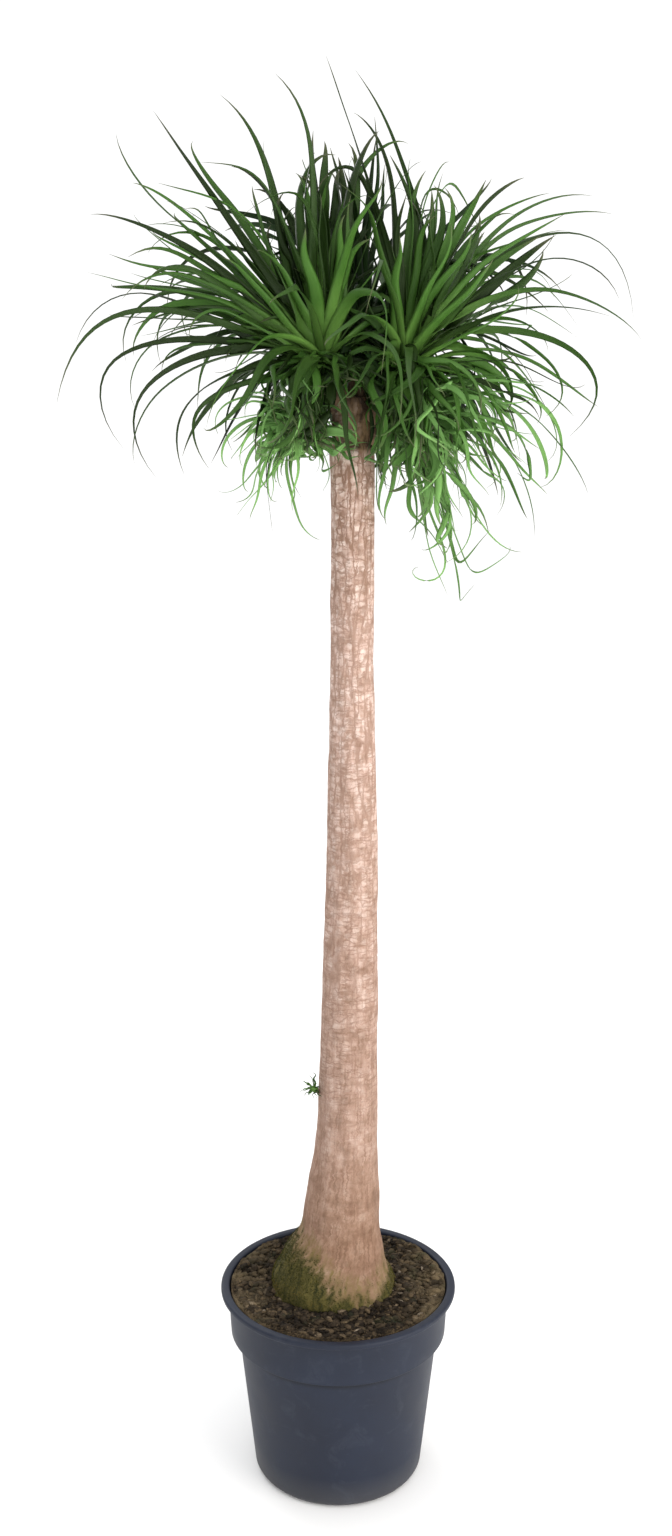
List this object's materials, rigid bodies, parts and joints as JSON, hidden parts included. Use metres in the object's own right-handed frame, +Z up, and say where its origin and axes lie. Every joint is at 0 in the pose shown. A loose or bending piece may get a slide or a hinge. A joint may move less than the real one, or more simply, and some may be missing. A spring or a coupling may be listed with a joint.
{
  "type": "potted ponytail palm",
  "caption": "Tall ponytail palm with a slender bark-covered stem, a swollen foot and a branched crown of narrow arching leaves, growing in a round plastic nursery pot.",
  "frame": {"origin": "middle of the pot's flat underside, on the surface that the pot stands on", "axes": "+Z up along the stem, -Y towards the plant's face, +X to the right of someone who looks at that face"},
  "size_m": [0.721, 0.5876, 1.969],
  "materials": {
    "pot_plastic": "matte dark blue-grey moulded plastic",
    "compost": "damp crumbly bark and peat compost",
    "bark": "dry pinkish tan bark with fine cracks",
    "leaf": "waxy mid-green leaf blade",
    "leaf_shaded": "waxy dark green leaf blade",
    "leaf_shoot": "soft fresh green blade of a young shoot"
  },
  "bodies": {
    "root": {"pot": "pot_plastic", "soil": "compost", "stem": "bark", "head_left": "leaf", "head_right": "leaf", "head_back": "leaf_shaded", "shoot_low_left": "leaf_shoot", "shoot_low_right": "leaf_shoot", "side_sprout": "leaf_shoot"}
  },
  "joints": []
}
